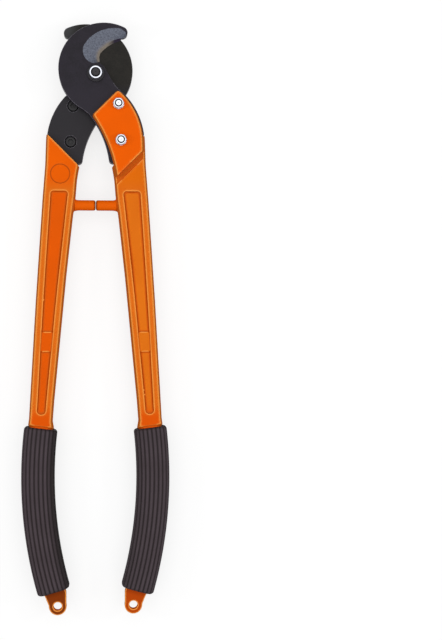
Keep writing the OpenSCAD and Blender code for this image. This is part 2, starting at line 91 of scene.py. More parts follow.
# Powder coat on cast aluminium: sprayed and baked, so it is a satin skin with faint orange peel.
# The rounded edges and the foot of each recess carry a painted highlight, the recess slopes, the
# eye's tongue and the gap between the pegs a painted shade, and the steep sides a painted shading.
# The slanted channel is mottled, and its floor is as rough as the sand left it
castings = {  # heights, places and reaches are in millimetres from the pivot
    # the left and right faces and shoulders are one coat; their colours differ only by painted light
    # and shade
    "leftFacePaintedLight": "#F05F04", "rightFacePaintedLight": "#EC7A18", "rim": "#EA7218",
    "leftShoulderPaintedLight": "#FA6602", "rightShoulderPaintedLight": "#EC740C", "plate": "#FC6402", "collar": "#EC5A04",
    # the tongues are painted in shade, deeper on the left, and the meeting colour is a painted shadow
    # between the pegs
    "peg": "#F26608", "leftTongueShade": "#8A3A0A", "rightTongueShade": "#C24A08", "pegGapShadow": "#4A1C04",
    # the recess slope and the peg gap are painted shade, the edges and the recess feet painted
    # highlights, and the steep sides a painted shading
    "pool": "#D45606", "wallShading": "#E0762A", "edge": "#FFA248", "slope": "#B84400", "footHighlight": "#EE7420",
    "channel": "#DE6A14", "channelDark": "#B85A16",
    "rimHeight": 9.3, "floorHeight": 8.8, "channelHeight": 8.4, "plateHeight": 12,
    "shoulderLow": -106, "armHigh": -118, "collarTop": -335, "collarLow": -348,
    "pegGapShadowReach": 2.4, "pegReach": 21, "pegTop": -125, "pegLow": -141, "tongueTop": -505,
    "wallStart": 0.5, "wallFull": 0.28, "turnStart": 0.996, "turnFull": 0.965,
    "outwardStart": 0.503, "outwardFull": 0.509,
    "hollowStart": 0.497, "hollowFull": 0.49, "hollowShare": 0.6,
    "highlightWidth": 3.2, "highlightStart": 0.997, "highlightFull": 0.96, "highlightShare": 0.85,
    "markPlace": (35.7 * mm, -101.8 * mm, 0), "markReach": 11.2, "markFade": 0.5, "markHighlightShare": 0.3,
    "sandMm": 1.3,  # the mould's grain is under half a millimetre and is drawn coarser, to show
    "cloudMm": 38, "poolStart": 0.35, "poolFull": 0.7, "poolShare": 0.25,
    "roughness": 0.36, "reflection": 0.02, "bumpStrength": 0.5,
    "peelMm": 2.2, "peelDepth": 0.05, "lumpMm": 14, "lumpDepth": 0.12,
    "weld": 0.01 * mm, "voxel": 0.5 * mm, "smoothing": 18, "smoothShare": 0.5,
}


def powderCoat(name, faceColour, shoulderColour, tongueColour):
    material, tree = newMaterial(name)
    place = addNode(tree, "ShaderNodeTexCoord")
    spot = place.outputs["Object"]
    fromPivot = addNode(tree, "ShaderNodeVectorMath", {0: spot, 1: tuple(pivot)}, operation="SUBTRACT")
    axes = addNode(tree, "ShaderNodeSeparateXYZ", {0: fromPivot.outputs[0]})
    height = addNode(tree, "ShaderNodeMath", {0: axes.outputs["Z"]}, operation="ABSOLUTE")
    sideways = addNode(tree, "ShaderNodeMath", {0: axes.outputs["X"]}, operation="ABSOLUTE")
    inPlan = addNode(tree, "ShaderNodeCombineXYZ", {"X": sideways.outputs[0], "Y": axes.outputs["Y"]})
    cloud = addNode(tree, "ShaderNodeTexNoise", {
        "Vector": spot, "Scale": perMetre(castings["cloudMm"]), "Detail": 3.0})
    peel = addNode(tree, "ShaderNodeTexNoise", {
        "Vector": spot, "Scale": perMetre(castings["peelMm"]), "Detail": 2.0})
    lumps = addNode(tree, "ShaderNodeTexNoise", {
        "Vector": spot, "Scale": perMetre(castings["lumpMm"]), "Detail": 1.0})
    grains = addNode(tree, "ShaderNodeTexNoise", {
        "Vector": spot, "Scale": perMetre(castings["sandMm"]), "Detail": 2.0})
    # where on the casting: a mask goes from 0 to 1 between two places, or changes at one
    rim = addNode(tree, "ShaderNodeMapRange", {
        "Value": height.outputs[0],
        "From Min": castings["floorHeight"] * mm, "From Max": castings["rimHeight"] * mm})
    shoulder = addNode(tree, "ShaderNodeMapRange", {
        "Value": axes.outputs["Y"],
        "From Min": castings["armHigh"] * mm, "From Max": castings["shoulderLow"] * mm})
    collar = addNode(tree, "ShaderNodeMapRange", {
        "Value": axes.outputs["Y"],
        "From Min": castings["collarTop"] * mm, "From Max": castings["collarLow"] * mm})
    # the eye's tongue at the grip end is painted in shade, deeper on the left copy
    tongue = addNode(tree, "ShaderNodeMath", {
        0: axes.outputs["Y"], 1: castings["tongueTop"] * mm}, operation="LESS_THAN")
    plate = addNode(tree, "ShaderNodeMath", {
        0: height.outputs[0], 1: castings["plateHeight"] * mm}, operation="GREATER_THAN")
    low = addNode(tree, "ShaderNodeMath", {
        0: height.outputs[0], 1: castings["channelHeight"] * mm}, operation="LESS_THAN")
    channel = addNode(tree, "ShaderNodeMath", {
        0: low.outputs[0], 1: shoulder.outputs[0]}, operation="MULTIPLY")
    inside = addNode(tree, "ShaderNodeMath", {
        0: sideways.outputs[0], 1: castings["pegReach"] * mm}, operation="LESS_THAN")
    under = addNode(tree, "ShaderNodeMath", {
        0: axes.outputs["Y"], 1: castings["pegTop"] * mm}, operation="LESS_THAN")
    over = addNode(tree, "ShaderNodeMath", {
        0: axes.outputs["Y"], 1: castings["pegLow"] * mm}, operation="GREATER_THAN")
    inBand = addNode(tree, "ShaderNodeMath", {
        0: under.outputs[0], 1: over.outputs[0]}, operation="MULTIPLY")
    peg = addNode(tree, "ShaderNodeMath", {
        0: inside.outputs[0], 1: inBand.outputs[0]}, operation="MULTIPLY")
    # a painted shadow in the gap where the two stop pegs meet
    ends = addNode(tree, "ShaderNodeMapRange", {
        "Value": sideways.outputs[0], "From Min": castings["pegGapShadowReach"] * mm, "From Max": 0.0})
    pegGapShadow = addNode(tree, "ShaderNodeMath", {
        0: ends.outputs[0], 1: peg.outputs[0]}, operation="MULTIPLY")
    # how the surface turns, for the painted shading and highlights: steep cast sides, rounded edges,
    # and the slope and foot of each recess
    geometry = addNode(tree, "ShaderNodeNewGeometry")
    facing = addNode(tree, "ShaderNodeSeparateXYZ", {0: geometry.outputs["Normal"]})
    tilt = addNode(tree, "ShaderNodeMath", {0: facing.outputs["Z"]}, operation="ABSOLUTE")
    # the steep cast sides take a painted shading colour of their own
    wallShading = addNode(tree, "ShaderNodeMapRange", {
        "Value": tilt.outputs[0], "From Min": castings["wallStart"], "From Max": castings["wallFull"]})
    turning = addNode(tree, "ShaderNodeMapRange", {
        "Value": tilt.outputs[0], "From Min": castings["turnStart"], "From Max": castings["turnFull"]})
    outward = addNode(tree, "ShaderNodeMapRange", {
        "Value": geometry.outputs["Pointiness"],
        "From Min": castings["outwardStart"], "From Max": castings["outwardFull"]})
    hollow = addNode(tree, "ShaderNodeMapRange", {
        "Value": geometry.outputs["Pointiness"], "From Min": castings["hollowStart"],
        "From Max": castings["hollowFull"], "To Max": castings["hollowShare"]})
    notOutward = addNode(tree, "ShaderNodeMath", {0: 1.0, 1: outward.outputs[0]}, operation="SUBTRACT")
    convex = addNode(tree, "ShaderNodeMath", {
        0: turning.outputs[0], 1: outward.outputs[0]}, operation="MULTIPLY")
    # the slope of each recess is painted in shade
    slope = addNode(tree, "ShaderNodeMath", {
        0: turning.outputs[0], 1: notOutward.outputs[0]}, operation="MULTIPLY")
    # the painted highlight is weaker on the edges of the small casting mark
    fromMark = addNode(tree, "ShaderNodeVectorMath", {
        0: inPlan.outputs[0], 1: castings["markPlace"]}, operation="DISTANCE")
    offMark = addNode(tree, "ShaderNodeMapRange", {
        "Value": fromMark.outputs["Value"], "From Min": castings["markReach"] * mm,
        "From Max": (castings["markReach"] + castings["markFade"]) * mm,
        "To Min": castings["markHighlightShare"]})
    # a painted highlight covers the flat rims and the plate for the last few millimetres beside their
    # edges
    rounded = addNode(tree, "ShaderNodeBevel", {
        "Radius": castings["highlightWidth"] * mm}, samples=bevelSamples)
    lean = addNode(tree, "ShaderNodeVectorMath", {
        0: rounded.outputs["Normal"], 1: geometry.outputs["Normal"]}, operation="DOT_PRODUCT")
    bent = addNode(tree, "ShaderNodeMapRange", {
        "Value": lean.outputs["Value"], "From Min": castings["highlightStart"],
        "From Max": castings["highlightFull"], "To Max": castings["highlightShare"]})
    besideEdgeHighlight = addNode(tree, "ShaderNodeMath", {
        0: bent.outputs[0], 1: rim.outputs[0]}, operation="MULTIPLY")
    light = addNode(tree, "ShaderNodeMath", {
        0: convex.outputs[0], 1: besideEdgeHighlight.outputs[0]}, operation="MAXIMUM")
    # the edge colour is a painted highlight on convex edges and beside the rims' edges
    edge = addNode(tree, "ShaderNodeMath", {
        0: light.outputs[0], 1: offMark.outputs[0]}, operation="MULTIPLY")
    # the foot of each recess gets a painted highlight
    footHighlight = addNode(tree, "ShaderNodeMath", {
        0: turning.outputs[0], 1: hollow.outputs[0]}, operation="MULTIPLY")
    tone = addNode(tree, "ShaderNodeMapRange", {
        "Value": cloud.outputs["Fac"], "From Min": castings["poolStart"],
        "From Max": castings["poolFull"], "To Max": castings["poolShare"]})
    sand = addNode(tree, "ShaderNodeMix", {
        0: grains.outputs["Fac"], 6: linear(castings["channelDark"]), 7: linear(castings["channel"])},
        data_type="RGBA")
    # among these layers the recess slopes, tongues and peg gap are painted shade, the edges and recess
    # feet painted highlights, and the steep sides a painted shading
    layers = (
        (rim, linear(castings["rim"])), (collar, linear(castings["collar"])),
        (shoulder, linear(shoulderColour)), (plate, linear(castings["plate"])),
        (channel, sand.outputs[2]), (tone, linear(castings["pool"])),
        (tongue, linear(tongueColour)), (slope, linear(castings["slope"])),
        (footHighlight, linear(castings["footHighlight"])), (edge, linear(castings["edge"])),
        (wallShading, linear(castings["wallShading"])), (peg, linear(castings["peg"])),
        (pegGapShadow, linear(castings["pegGapShadow"])))
    coat = linear(faceColour)
    for mask, shade in layers:  # each coat goes over the ones before it
        layer = addNode(tree, "ShaderNodeMix", {
            0: mask.outputs[0], 6: coat, 7: shade}, data_type="RGBA")
        coat = layer.outputs[2]
    swell = addNode(tree, "ShaderNodeBump", {
        "Height": lumps.outputs["Fac"], "Strength": castings["bumpStrength"],
        "Distance": castings["lumpDepth"] * mm})
    skin = addNode(tree, "ShaderNodeBump", {
        "Height": peel.outputs["Fac"], "Strength": castings["bumpStrength"],
        "Distance": castings["peelDepth"] * mm, "Normal": swell.outputs["Normal"]})
    gloss = addNode(tree, "ShaderNodeMapRange", {
        "Value": wallShading.outputs[0], "To Min": castings["reflection"], "To Max": 0.0})
    shader = addNode(tree, "ShaderNodeBsdfPrincipled", {
        "Base Color": coat, "Roughness": castings["roughness"], "Normal": skin.outputs["Normal"],
        "Specular IOR Level": gloss.outputs[0]})
    addNode(tree, "ShaderNodeOutputMaterial", {"Surface": shader.outputs[0]})
    return material


# Black oxide on hardened steel: a hot dip turns the surface a violet black, with a faint cloudy
# grain. The cutting faces are ground after it, so bare steel shows there, and on the broken edges,
# where the light line is also a painted highlight
blades = {  # places and reaches are in millimetres from the pivot
    "black": "#28242D", "blackDeep": "#1D1A20", "rearBlack": "#24211D", "rearDeep": "#161411",
    "rearNose": "#3C3C3D", "rearTang": "#2A282D", "tangFrom": -8, "tangTo": -22, "tangShare": 0.8,
    "edgeGrey": "#85818B", "ground": "#777C8A", "groundDark": "#555965",
    "bevel": "#A2988C", "bevelDark": "#3C3546", "honed": "#8C827A", "shadeFrom": 12, "shadeTo": 19,
    "roughnessLow": 0.36, "roughnessHigh": 0.54, "bumpStrength": 0.3, "bumpDepth": 0.04,
    "grainMm": 1.4, "grindMm": 1.5,  # crystals and grit are far finer, and are drawn coarser, to show
    "cloudMm": 9, "grainShare": 0.5,
    "oxideStart": 0.38, "oxideFull": 0.62, "scratchStart": 0.36, "scratchFull": 0.64,
    "slopeBelow": 0.992, "steepBelow": 0.62, "sideBelow": 0.2,
    "wearAndHighlightWidth": 0.8 * mm, "wearAndHighlightStart": 0.99, "wearAndHighlightFull": 0.8,
    "edgeWidth": 0.14 * mm, "weld": 0.12 * mm, "mouthX": 14, "mouthY": 20, "mouthReach": 29.5,
    "throatX": 13.4, "throatY": 17.6, "throatRadius": 9.7, "lipX": 33.8, "lipY": -0.9, "lipRadius": 37,
    "lipFrom": 21, "lipTo": 24, "honedFrom": 2.4, "honedTo": 4.6, "honedShare": 0.6,
    "noseFrom": 16, "noseTo": 26, "noseLow": 24,
}


def blackOxideBlade(name, side, black, blackDeep, nose, tang):  # side is 1 above the shear plane, or -1
    material, tree = newMaterial(name)
    place = addNode(tree, "ShaderNodeTexCoord")
    spot = place.outputs["Object"]
    fromPivot = addNode(tree, "ShaderNodeVectorMath", {0: spot, 1: tuple(pivot)}, operation="SUBTRACT")
    axes = addNode(tree, "ShaderNodeSeparateXYZ", {0: fromPivot.outputs[0]})
    cloud = addNode(tree, "ShaderNodeTexNoise", {
        "Vector": spot, "Scale": perMetre(blades["cloudMm"]), "Detail": 5.0, "Roughness": 0.65})
    grain = addNode(tree, "ShaderNodeTexNoise", {
        "Vector": spot, "Scale": perMetre(blades["grainMm"]), "Detail": 3.0})
    grind = addNode(tree, "ShaderNodeTexNoise", {
        "Vector": spot, "Scale": perMetre(blades["grindMm"]), "Detail": 4.0, "Roughness": 0.7})
    mottle = addNode(tree, "ShaderNodeMix", {
        0: blades["grainShare"], 2: cloud.outputs["Fac"], 3: grain.outputs["Fac"]})
    tone = addNode(tree, "ShaderNodeMapRange", {
        "Value": mottle.outputs[0], "From Min": blades["oxideStart"], "From Max": blades["oxideFull"]})
    scratch = addNode(tree, "ShaderNodeMapRange", {
        "Value": grind.outputs["Fac"],
        "From Min": blades["scratchStart"], "From Max": blades["scratchFull"]})
    oxide = addNode(tree, "ShaderNodeMix", {
        0: tone.outputs[0], 6: linear(blackDeep), 7: linear(black)}, data_type="RGBA")
    bare = addNode(tree, "ShaderNodeMix", {
        0: scratch.outputs[0], 6: linear(blades["groundDark"]), 7: linear(blades["ground"])},
        data_type="RGBA")
    # the long hollow slopes a little from the blade's face, and the short bevel at the edge is steep
    geometry = addNode(tree, "ShaderNodeNewGeometry")
    facing = addNode(tree, "ShaderNodeSeparateXYZ", {0: geometry.outputs["True Normal"]})
    up = addNode(tree, "ShaderNodeMath", {0: facing.outputs["Z"], 1: float(side)}, operation="MULTIPLY")
    sloped = addNode(tree, "ShaderNodeMath", {
        0: up.outputs[0], 1: blades["slopeBelow"]}, operation="LESS_THAN")
    steep = addNode(tree, "ShaderNodeMath", {
        0: up.outputs[0], 1: blades["steepBelow"]}, operation="LESS_THAN")
    rising = addNode(tree, "ShaderNodeMath", {
        0: up.outputs[0], 1: blades["sideBelow"]}, operation="GREATER_THAN")
    broken = addNode(tree, "ShaderNodeMath", {
        0: sloped.outputs[0], 1: rising.outputs[0]}, operation="MULTIPLY")
    # everything that is ground lies inside a circle round the middle of the mouth
    inPlan = addNode(tree, "ShaderNodeCombineXYZ", {"X": axes.outputs["X"], "Y": axes.outputs["Y"]})
    centre = (side * blades["mouthX"] * mm, blades["mouthY"] * mm, 0)
    reach = addNode(tree, "ShaderNodeVectorMath", {
        0: inPlan.outputs[0], 1: centre}, operation="DISTANCE")
    near = addNode(tree, "ShaderNodeMath", {
        0: reach.outputs["Value"], 1: blades["mouthReach"] * mm}, operation="LESS_THAN")
    along = addNode(tree, "ShaderNodeMath", {
        0: axes.outputs["X"], 1: float(side)}, operation="MULTIPLY")
    shade = addNode(tree, "ShaderNodeMapRange", {
        "Value": along.outputs[0],
        "From Min": blades["shadeFrom"] * mm, "From Max": blades["shadeTo"] * mm})
    # the last few millimetres beside the cutting edge are honed once more, and look warmer
    fromThroat = addNode(tree, "ShaderNodeVectorMath", {
        0: inPlan.outputs[0], 1: (side * blades["throatX"] * mm, blades["throatY"] * mm, 0)},
        operation="DISTANCE")
    fromLip = addNode(tree, "ShaderNodeVectorMath", {
        0: inPlan.outputs[0], 1: (side * blades["lipX"] * mm, blades["lipY"] * mm, 0)},
        operation="DISTANCE")
    besideThroat = addNode(tree, "ShaderNodeMapRange", {
        "Value": fromThroat.outputs["Value"],
        "From Min": (blades["throatRadius"] + blades["honedTo"]) * mm,
        "From Max": (blades["throatRadius"] + blades["honedFrom"]) * mm})
    besideLip = addNode(tree, "ShaderNodeMapRange", {
        "Value": fromLip.outputs["Value"],
        "From Min": (blades["lipRadius"] + blades["honedTo"]) * mm,
        "From Max": (blades["lipRadius"] + blades["honedFrom"]) * mm})
    aboveThroat = addNode(tree, "ShaderNodeMapRange", {
        "Value": axes.outputs["Y"],
        "From Min": blades["lipFrom"] * mm, "From Max": blades["lipTo"] * mm})
    onLip = addNode(tree, "ShaderNodeMath", {
        0: besideLip.outputs[0], 1: aboveThroat.outputs[0]}, operation="MULTIPLY")
    beside = addNode(tree, "ShaderNodeMath", {
        0: besideThroat.outputs[0], 1: onLip.outputs[0]}, operation="MAXIMUM")
    unshaded = addNode(tree, "ShaderNodeMapRange", {
        "Value": shade.outputs[0], "To Min": blades["honedShare"], "To Max": 0.0})
    honed = addNode(tree, "ShaderNodeMath", {
        0: beside.outputs[0], 1: unshaded.outputs[0]}, operation="MULTIPLY")
    groundFace = addNode(tree, "ShaderNodeMix", {
        0: honed.outputs[0], 6: bare.outputs[2], 7: linear(blades["honed"])}, data_type="RGBA")
    lip = addNode(tree, "ShaderNodeMix", {
        0: shade.outputs[0], 6: linear(blades["bevel"]), 7: linear(blades["bevelDark"])},
        data_type="RGBA")
    steel = addNode(tree, "ShaderNodeMix", {
        0: steep.outputs[0], 6: groundFace.outputs[2], 7: lip.outputs[2]}, data_type="RGBA")
    # outside the mouth the small broken edges show bare steel, which is also a painted highlight
    bright = addNode(tree, "ShaderNodeMix", {
        0: near.outputs[0], 6: linear(blades["edgeGrey"]), 7: steel.outputs[2]}, data_type="RGBA")
    # above the mouth towards the nose, and down the tang, the blade takes the nose and tang colours:
    # lighter on the rear blade, unchanged on the front
    toNose = addNode(tree, "ShaderNodeMapRange", {
        "Value": along.outputs[0],
        "From Min": blades["noseFrom"] * mm, "From Max": blades["noseTo"] * mm})
    aboveMouth = addNode(tree, "ShaderNodeMath", {
        0: axes.outputs["Y"], 1: blades["noseLow"] * mm}, operation="GREATER_THAN")
    onNose = addNode(tree, "ShaderNodeMath", {
        0: toNose.outputs[0], 1: aboveMouth.outputs[0]}, operation="MULTIPLY")
    onTang = addNode(tree, "ShaderNodeMapRange", {
        "Value": axes.outputs["Y"], "From Min": blades["tangFrom"] * mm,
        "From Max": blades["tangTo"] * mm, "To Max": blades["tangShare"]})
    tangOxide = addNode(tree, "ShaderNodeMix", {
        0: onTang.outputs[0], 6: oxide.outputs[2], 7: linear(tang)}, data_type="RGBA")
    lightened = addNode(tree, "ShaderNodeMix", {
        0: onNose.outputs[0], 6: tangOxide.outputs[2], 7: linear(nose)}, data_type="RGBA")
    ground = addNode(tree, "ShaderNodeMix", {
        0: broken.outputs[0], 6: lightened.outputs[2], 7: bright.outputs[2]}, data_type="RGBA")
    # the oxide wears off along the edges, and the light line there is also a painted highlight: the
    # edges are where a rounded normal would lean away
    rounded = addNode(tree, "ShaderNodeBevel", {"Radius": blades["wearAndHighlightWidth"]}, samples=bevelSamples)
    lean = addNode(tree, "ShaderNodeVectorMath", {
        0: rounded.outputs["Normal"], 1: geometry.outputs["True Normal"]}, operation="DOT_PRODUCT")
    bent = addNode(tree, "ShaderNodeMapRange", {
        "Value": lean.outputs["Value"],
        "From Min": blades["wearAndHighlightStart"], "From Max": blades["wearAndHighlightFull"]})
    outside = addNode(tree, "ShaderNodeMath", {0: 1.0, 1: near.outputs[0]}, operation="SUBTRACT")
    wearAndHighlight = addNode(tree, "ShaderNodeMath", {
        0: bent.outputs[0], 1: outside.outputs[0]}, operation="MULTIPLY")
    colour = addNode(tree, "ShaderNodeMix", {
        0: wearAndHighlight.outputs[0], 6: ground.outputs[2], 7: linear(blades["edgeGrey"])}, data_type="RGBA")
    rough = addNode(tree, "ShaderNodeMapRange", {
        "Value": grain.outputs["Fac"],
        "To Min": blades["roughnessLow"], "To Max": blades["roughnessHigh"]})
    bump = addNode(tree, "ShaderNodeBump", {
        "Height": mottle.outputs[0], "Strength": blades["bumpStrength"],
        "Distance": blades["bumpDepth"] * mm})
    shader = addNode(tree, "ShaderNodeBsdfPrincipled", {
        "Base Color": colour.outputs[2], "Roughness": rough.outputs[0],
        "Normal": bump.outputs["Normal"], "Specular IOR Level": satinReflection})
    addNode(tree, "ShaderNodeOutputMaterial", {"Surface": shader.outputs[0]})
    return material


# Clear zinc plate on pressed and turned steel: bright and faintly blue, with a soft haze
hardware = {
    "zinc": "#C9CBD1", "zincDull": "#A6A9B2", "zincHazeMm": 2.5, "zincLow": 0.12, "zincHigh": 0.34,
    "chamferShade": "#4E5058", "chamferPaleShade": "#A6A8AF", "chamferTilt": 0.7, "chamferSpread": 0.12,
    "screwBlack": "#100E11", "washerBlack": "#242226", "boltBlack": "#2A282B",
    "screwMetal": 0.0, "boltMetal": 0.2, "screwGloss": 0.25, "screwHazeMm": 1.8,
    "screwLow": 0.3, "screwHigh": 0.5, "cutEndHeight": 24.2,
    "nutEdge": 0.25 * mm, "screwEdge": 0.2 * mm, "pivotEdge": 0.3 * mm, "weld": 0.004 * mm,
    "flatWithin": 0.8, "edgeAbove": 28,  # degrees between the faces that meet
    "edgeSegments": 2,
}


def zincPlate(name, chamferShadeColour):
    material, tree = newMaterial(name)
    place = addNode(tree, "ShaderNodeTexCoord")
    haze = addNode(tree, "ShaderNodeTexNoise", {
        "Vector": place.outputs["Object"], "Scale": perMetre(hardware["zincHazeMm"]), "Detail": 3.0})
    colour = addNode(tree, "ShaderNodeMix", {
        0: haze.outputs["Fac"], 6: linear(hardware["zinc"]), 7: linear(hardware["zincDull"])},
        data_type="RGBA")
    # the turned chamfers and countersinks take a painted shade: dark on the pivot nut, paler on the
    # small nuts
    geometry = addNode(tree, "ShaderNodeNewGeometry")
    facing = addNode(tree, "ShaderNodeSeparateXYZ", {0: geometry.outputs["True Normal"]})
    tilt = addNode(tree, "ShaderNodeMath", {0: facing.outputs["Z"]}, operation="ABSOLUTE")
    chamfer = addNode(tree, "ShaderNodeMath", {
        0: tilt.outputs[0], 1: hardware["chamferTilt"], 2: hardware["chamferSpread"]},
        operation="COMPARE")
    shaded = addNode(tree, "ShaderNodeMix", {
        0: chamfer.outputs[0], 6: colour.outputs[2], 7: linear(chamferShadeColour)}, data_type="RGBA")
    rough = addNode(tree, "ShaderNodeMapRange", {
        "Value": haze.outputs["Fac"], "To Min": hardware["zincLow"], "To Max": hardware["zincHigh"]})
    shader = addNode(tree, "ShaderNodeBsdfPrincipled", {
        "Base Color": shaded.outputs[2], "Metallic": 1.0, "Roughness": rough.outputs[0]})
    addNode(tree, "ShaderNodeOutputMaterial", {"Surface": shader.outputs[0]})
    return material


# Black oxide screws: dark and a little oily, with the end that was cut to length left as bare steel
def blackOxideScrew(name, hexColour, metalShare):
    material, tree = newMaterial(name)
    place = addNode(tree, "ShaderNodeTexCoord")
    haze = addNode(tree, "ShaderNodeTexNoise", {
        "Vector": place.outputs["Object"], "Scale": perMetre(hardware["screwHazeMm"]), "Detail": 2.0})
    rough = addNode(tree, "ShaderNodeMapRange", {
        "Value": haze.outputs["Fac"], "To Min": hardware["screwLow"], "To Max": hardware["screwHigh"]})
    axes = addNode(tree, "ShaderNodeSeparateXYZ", {0: place.outputs["Object"]})
    lift = addNode(tree, "ShaderNodeMath", {0: axes.outputs["Z"], 1: pivot.z}, operation="SUBTRACT")
    height = addNode(tree, "ShaderNodeMath", {0: lift.outputs[0]}, operation="ABSOLUTE")
    cut = addNode(tree, "ShaderNodeMath", {
        0: height.outputs[0], 1: hardware["cutEndHeight"] * mm}, operation="GREATER_THAN")
    colour = addNode(tree, "ShaderNodeMix", {
        0: cut.outputs[0], 6: linear(hexColour), 7: linear(hardware["zinc"])}, data_type="RGBA")
    metal = addNode(tree, "ShaderNodeMapRange", {
        "Value": cut.outputs[0], "To Min": metalShare, "To Max": 1.0})
    shader = addNode(tree, "ShaderNodeBsdfPrincipled", {
        "Base Color": colour.outputs[2], "Metallic": metal.outputs[0], "Roughness": rough.outputs[0],
        "Specular IOR Level": hardware["screwGloss"]})
    addNode(tree, "ShaderNodeOutputMaterial", {"Surface": shader.outputs[0]})
    return material


# Moulded thermoplastic rubber: a soft matt black with a brown cast. The ridges are greyer, as rubbed
# wear and a painted highlight; the grooves and the side that faces the other grip are painted shade
grips = {  # lengths are in millimetres, and the curve's centre is measured from the pivot
    "rubber": "#40373B", "ridge": "#564B51", "grooveShade": "#1B1514", "innerSideShade": "#15110F",
    "ridgeWearAndHighlightFrom": 0.6, "ridgeWearAndHighlightShare": 0.9, "rightInnerShadeShare": 0.25, "leftInnerShadeShare": 0.9,
    "roughness": 0.62, "cloudMm": 18, "poreStrength": 0.3, "poreDepth": 0.03,
    "poreMm": 0.9,  # the mould's texture is finer and is drawn coarser, to show
    "curveRadius": 420.0, "curveX": -361.8, "curveY": -409.3, "upLength": 50.4, "downLength": 117.1,
    "width": 33.6, "thickness": 26.6, "corner": 9.0, "ridges": 24, "ridgeDepth": 1.1,
    "ridgePower": 0.55, "perRidge": 8, "stations": 72, "lip": 3.2, "lipSteps": 8,
    "bore": ((7.0, 1.2), (0.8, 1.0), (0.1, 0.4)),  # how deep, and how far inside the lip
}


def mouldedRubber():
    material, tree = newMaterial("mouldedRubber")
    place = addNode(tree, "ShaderNodeTexCoord")
    spot = place.outputs["Object"]
    cloud = addNode(tree, "ShaderNodeTexNoise", {
        "Vector": spot, "Scale": perMetre(grips["cloudMm"]), "Detail": 4.0})
    pores = addNode(tree, "ShaderNodeTexNoise", {
        "Vector": spot, "Scale": perMetre(grips["poreMm"]), "Detail": 2.0})
    height = addNode(tree, "ShaderNodeAttribute", attribute_name="ridgeHeight")
    inwardShade = addNode(tree, "ShaderNodeAttribute", attribute_name="inwardShade")
    low = addNode(tree, "ShaderNodeMix", {
        0: height.outputs["Fac"], 6: linear(grips["grooveShade"]), 7: linear(grips["rubber"])},
        data_type="RGBA")
    # the lighter ridge tops are rubbed wear and a painted highlight
    lightened = addNode(tree, "ShaderNodeMapRange", {
        "Value": height.outputs["Fac"],
        "From Min": grips["ridgeWearAndHighlightFrom"], "To Max": grips["ridgeWearAndHighlightShare"]})
    ridgeWearAndHighlight = addNode(tree, "ShaderNodeMath", {
        0: lightened.outputs[0], 1: cloud.outputs["Fac"]}, operation="MULTIPLY")
    ridged = addNode(tree, "ShaderNodeMix", {
        0: ridgeWearAndHighlight.outputs[0], 6: low.outputs[2], 7: linear(grips["ridge"])}, data_type="RGBA")
    # the side that faces the other grip is painted in shade
    colour = addNode(tree, "ShaderNodeMix", {
        0: inwardShade.outputs["Fac"], 6: ridged.outputs[2], 7: linear(grips["innerSideShade"])},
        data_type="RGBA")
    bump = addNode(tree, "ShaderNodeBump", {
        "Height": pores.outputs["Fac"], "Strength": grips["poreStrength"],
        "Distance": grips["poreDepth"] * mm})
    shader = addNode(tree, "ShaderNodeBsdfPrincipled", {
        "Base Color": colour.outputs[2], "Roughness": grips["roughness"],
        "Normal": bump.outputs["Normal"], "Specular IOR Level": satinReflection})
    addNode(tree, "ShaderNodeOutputMaterial", {"Surface": shader.outputs[0]})
    return material


def gripSection(count):  # points round the sleeve as (x, z, outward x, outward z, ridge height)
    flatW = grips["width"] - 2 * grips["corner"]
    flatT = grips["thickness"] - 2 * grips["corner"]
    bend = math.pi / 2 * grips["corner"]
    half = flatW + flatT + 2 * bend
    points = []
    for i in range(count):
        along = 2 * half * i / count
        side = 1 if along < half else -1
        t = along % half
        if t < flatW:
            x, z, angle = t - flatW / 2, grips["thickness"] / 2, 90
        elif t < flatW + bend:
            angle = 90 - 90 * (t - flatW) / bend
            x = flatW / 2 + grips["corner"] * math.cos(math.radians(angle))
            z = flatT / 2 + grips["corner"] * math.sin(math.radians(angle))
        elif t < flatW + bend + flatT:
            x, z, angle = grips["width"] / 2, flatT / 2 - (t - flatW - bend), 0
        else:
            angle = -90 * (t - flatW - bend - flatT) / bend
            x = flatW / 2 + grips["corner"] * math.cos(math.radians(angle))
            z = -flatT / 2 + grips["corner"] * math.sin(math.radians(angle))
        turn = math.radians(angle)
        wave = abs(math.sin(math.pi * grips["ridges"] * along / (2 * half))) ** grips["ridgePower"]
        points.append((side * x, side * z, side * math.cos(turn), side * math.sin(turn), wave))
    return points


